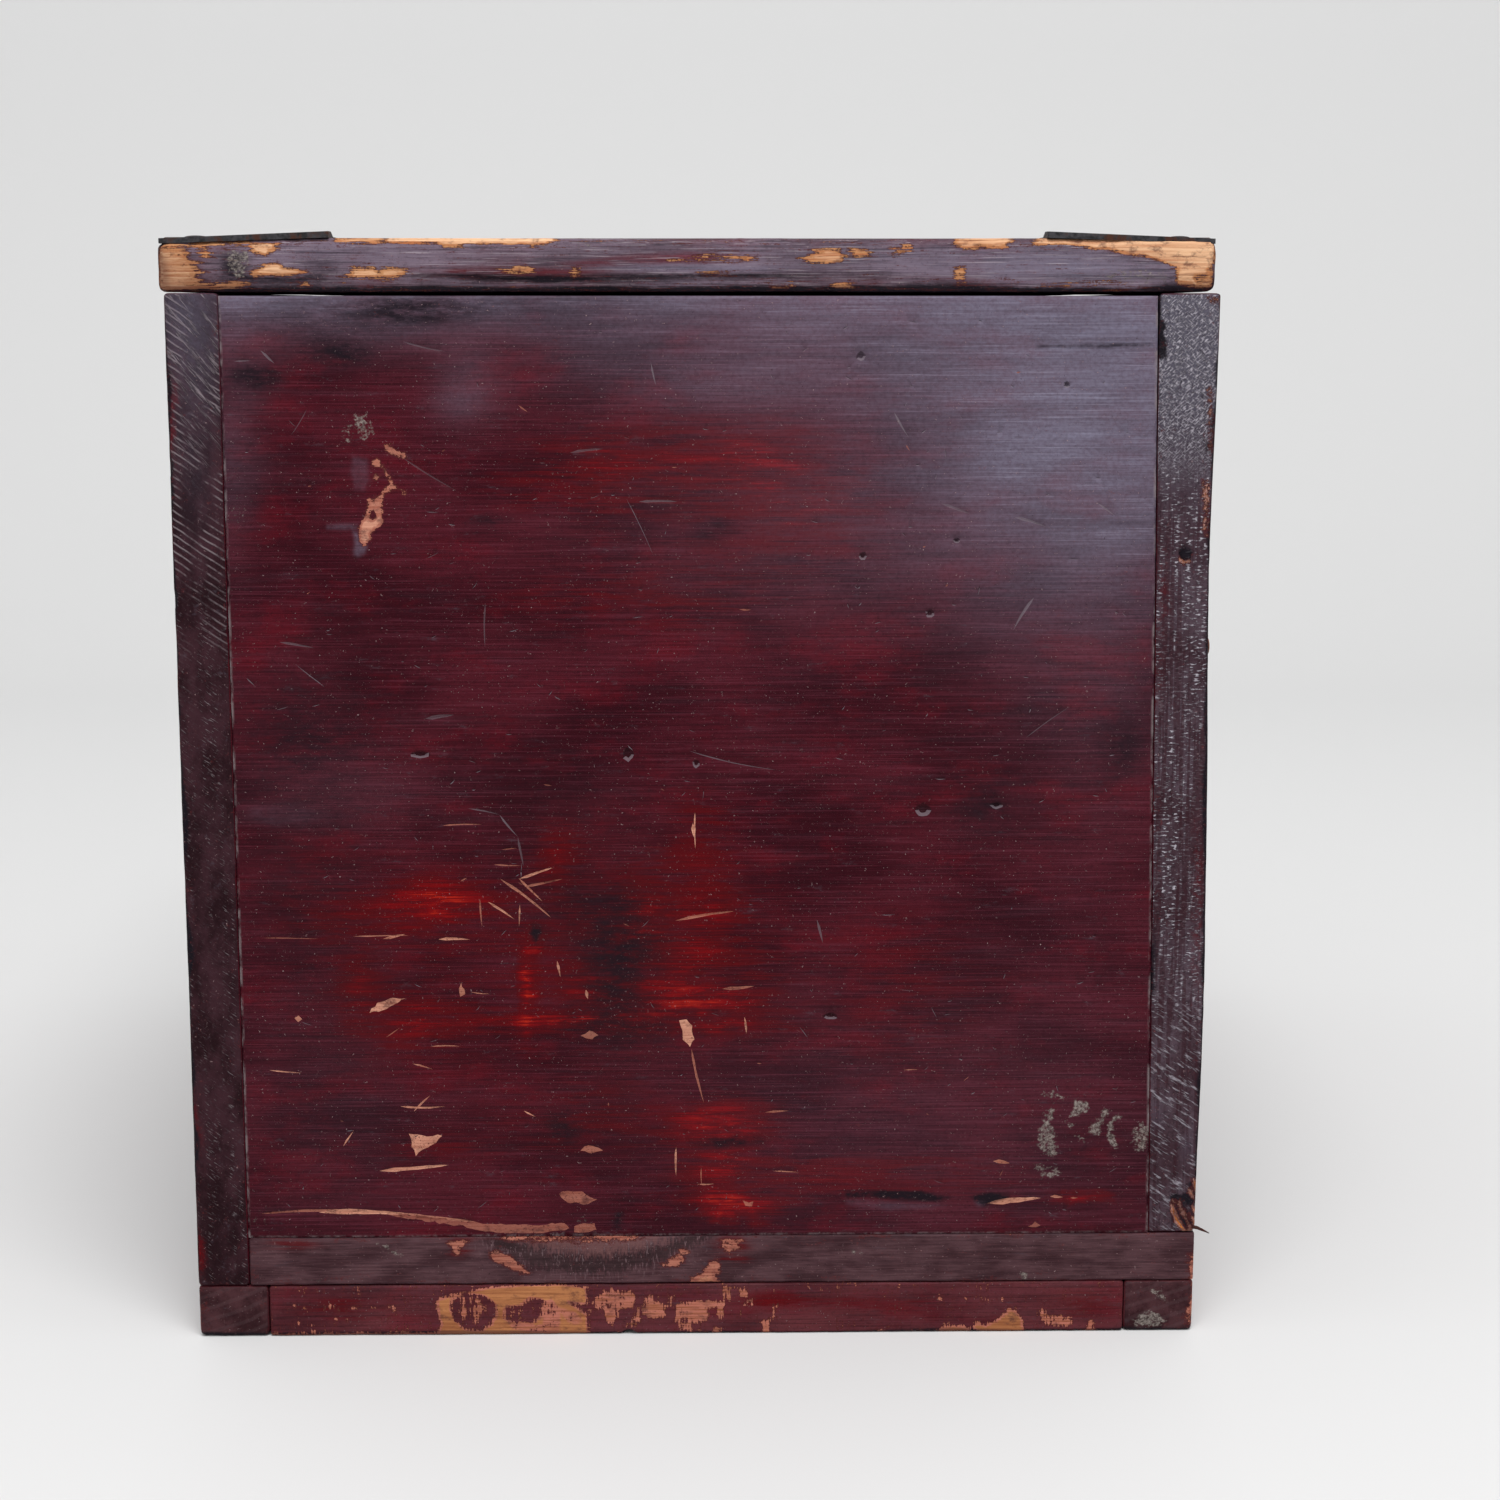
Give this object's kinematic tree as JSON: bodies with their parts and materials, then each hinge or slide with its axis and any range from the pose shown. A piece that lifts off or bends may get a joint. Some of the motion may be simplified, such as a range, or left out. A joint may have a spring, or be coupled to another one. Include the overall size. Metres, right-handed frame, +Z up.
{
  "type": "writing box",
  "caption": "Lacquered wooden writing box with a hinged lid on iron strap hinges, a sliding till, stacked drawers with bail pulls and a low base frame.",
  "frame": {"origin": "on the floor, under the middle of the whole box, the drawer pulls counted in", "axes": "+Z up, +Y towards the drawer fronts, +X to the right when the plain back panel is looked at"},
  "size_m": [0.2713, 0.3902, 0.2967],
  "materials": {
    "lacquered_wood": "worn brown-red lacquer with scratches and bare chips",
    "end_grain_wood": "rough dark stained end grain",
    "bare_wood": "old unpainted softwood",
    "peg_wood": "dark end grain of a driven peg",
    "sheet_iron": "blackened hand-worked iron with a trace of rust"
  },
  "bodies": {
    "case": {"left_wall": "end_grain_wood", "right_wall": "end_grain_wood", "back_panel": "lacquered_wood", "bottom_board": "lacquered_wood", "compartment_front": "lacquered_wood", "compartment_floor": "bare_wood", "drawer_divider": "lacquered_wood", "rear_top_board": "lacquered_wood", "base_runner_left": "end_grain_wood", "base_runner_right": "end_grain_wood", "base_rail_rear": "lacquered_wood", "base_rail_front": "lacquered_wood", "wall_pegs_left": "peg_wood", "wall_pegs_right": "peg_wood", "base_pegs": "peg_wood", "till_ledge_left": "bare_wood", "till_ledge_right": "bare_wood", "hinge_left_rear_leaf": "sheet_iron", "hinge_left_pin": "sheet_iron", "hinge_right_rear_leaf": "sheet_iron", "hinge_right_pin": "sheet_iron", "rear_leaf_nails": "sheet_iron"},
    "lid": {"lid_board": "lacquered_wood", "lid_cleat_left": "bare_wood", "lid_cleat_right": "bare_wood", "hinge_left_lid_leaf": "sheet_iron", "hinge_right_lid_leaf": "sheet_iron", "lid_leaf_nails": "sheet_iron"},
    "till": {"till_bottom": "bare_wood", "till_front": "bare_wood", "till_back": "bare_wood", "till_left": "bare_wood", "till_right": "bare_wood", "till_divider": "bare_wood"},
    "upper_drawer": {"upper_drawer_front": "lacquered_wood", "upper_drawer_left": "bare_wood", "upper_drawer_right": "bare_wood", "upper_drawer_back": "bare_wood", "upper_drawer_bottom": "bare_wood", "upper_pull_posts": "sheet_iron"},
    "upper_pull": {"upper_pull_bail": "sheet_iron"},
    "lower_drawer": {"lower_drawer_front": "lacquered_wood", "lower_drawer_left": "bare_wood", "lower_drawer_right": "bare_wood", "lower_drawer_back": "bare_wood", "lower_drawer_bottom": "bare_wood", "lower_pull_posts": "sheet_iron"},
    "lower_pull": {"lower_pull_bail": "sheet_iron"}
  },
  "joints": [
    {"name": "lid_hinge", "type": "hinge", "parent": "case", "child": "lid", "pos_m": [0, -0.0346, 0.2947], "axis": [1, 0, 0], "range_deg": [0, 178]},
    {"name": "till_slide", "type": "slide", "parent": "case", "child": "till", "axis": [0, -1, 0], "range_m": [0, 0.146]},
    {"name": "upper_drawer_slide", "type": "slide", "parent": "case", "child": "upper_drawer", "axis": [0, 1, 0], "range_m": [0, 0.3]},
    {"name": "lower_drawer_slide", "type": "slide", "parent": "case", "child": "lower_drawer", "axis": [0, 1, 0], "range_m": [0, 0.3]},
    {"name": "upper_pull_swing", "type": "hinge", "parent": "upper_drawer", "child": "upper_pull", "pos_m": [0, 0.1909, 0.16575], "axis": [1, 0, 0], "range_deg": [0, 100]},
    {"name": "lower_pull_swing", "type": "hinge", "parent": "lower_drawer", "child": "lower_pull", "pos_m": [0, 0.1909, 0.08275], "axis": [1, 0, 0], "range_deg": [0, 100]}
  ]
}
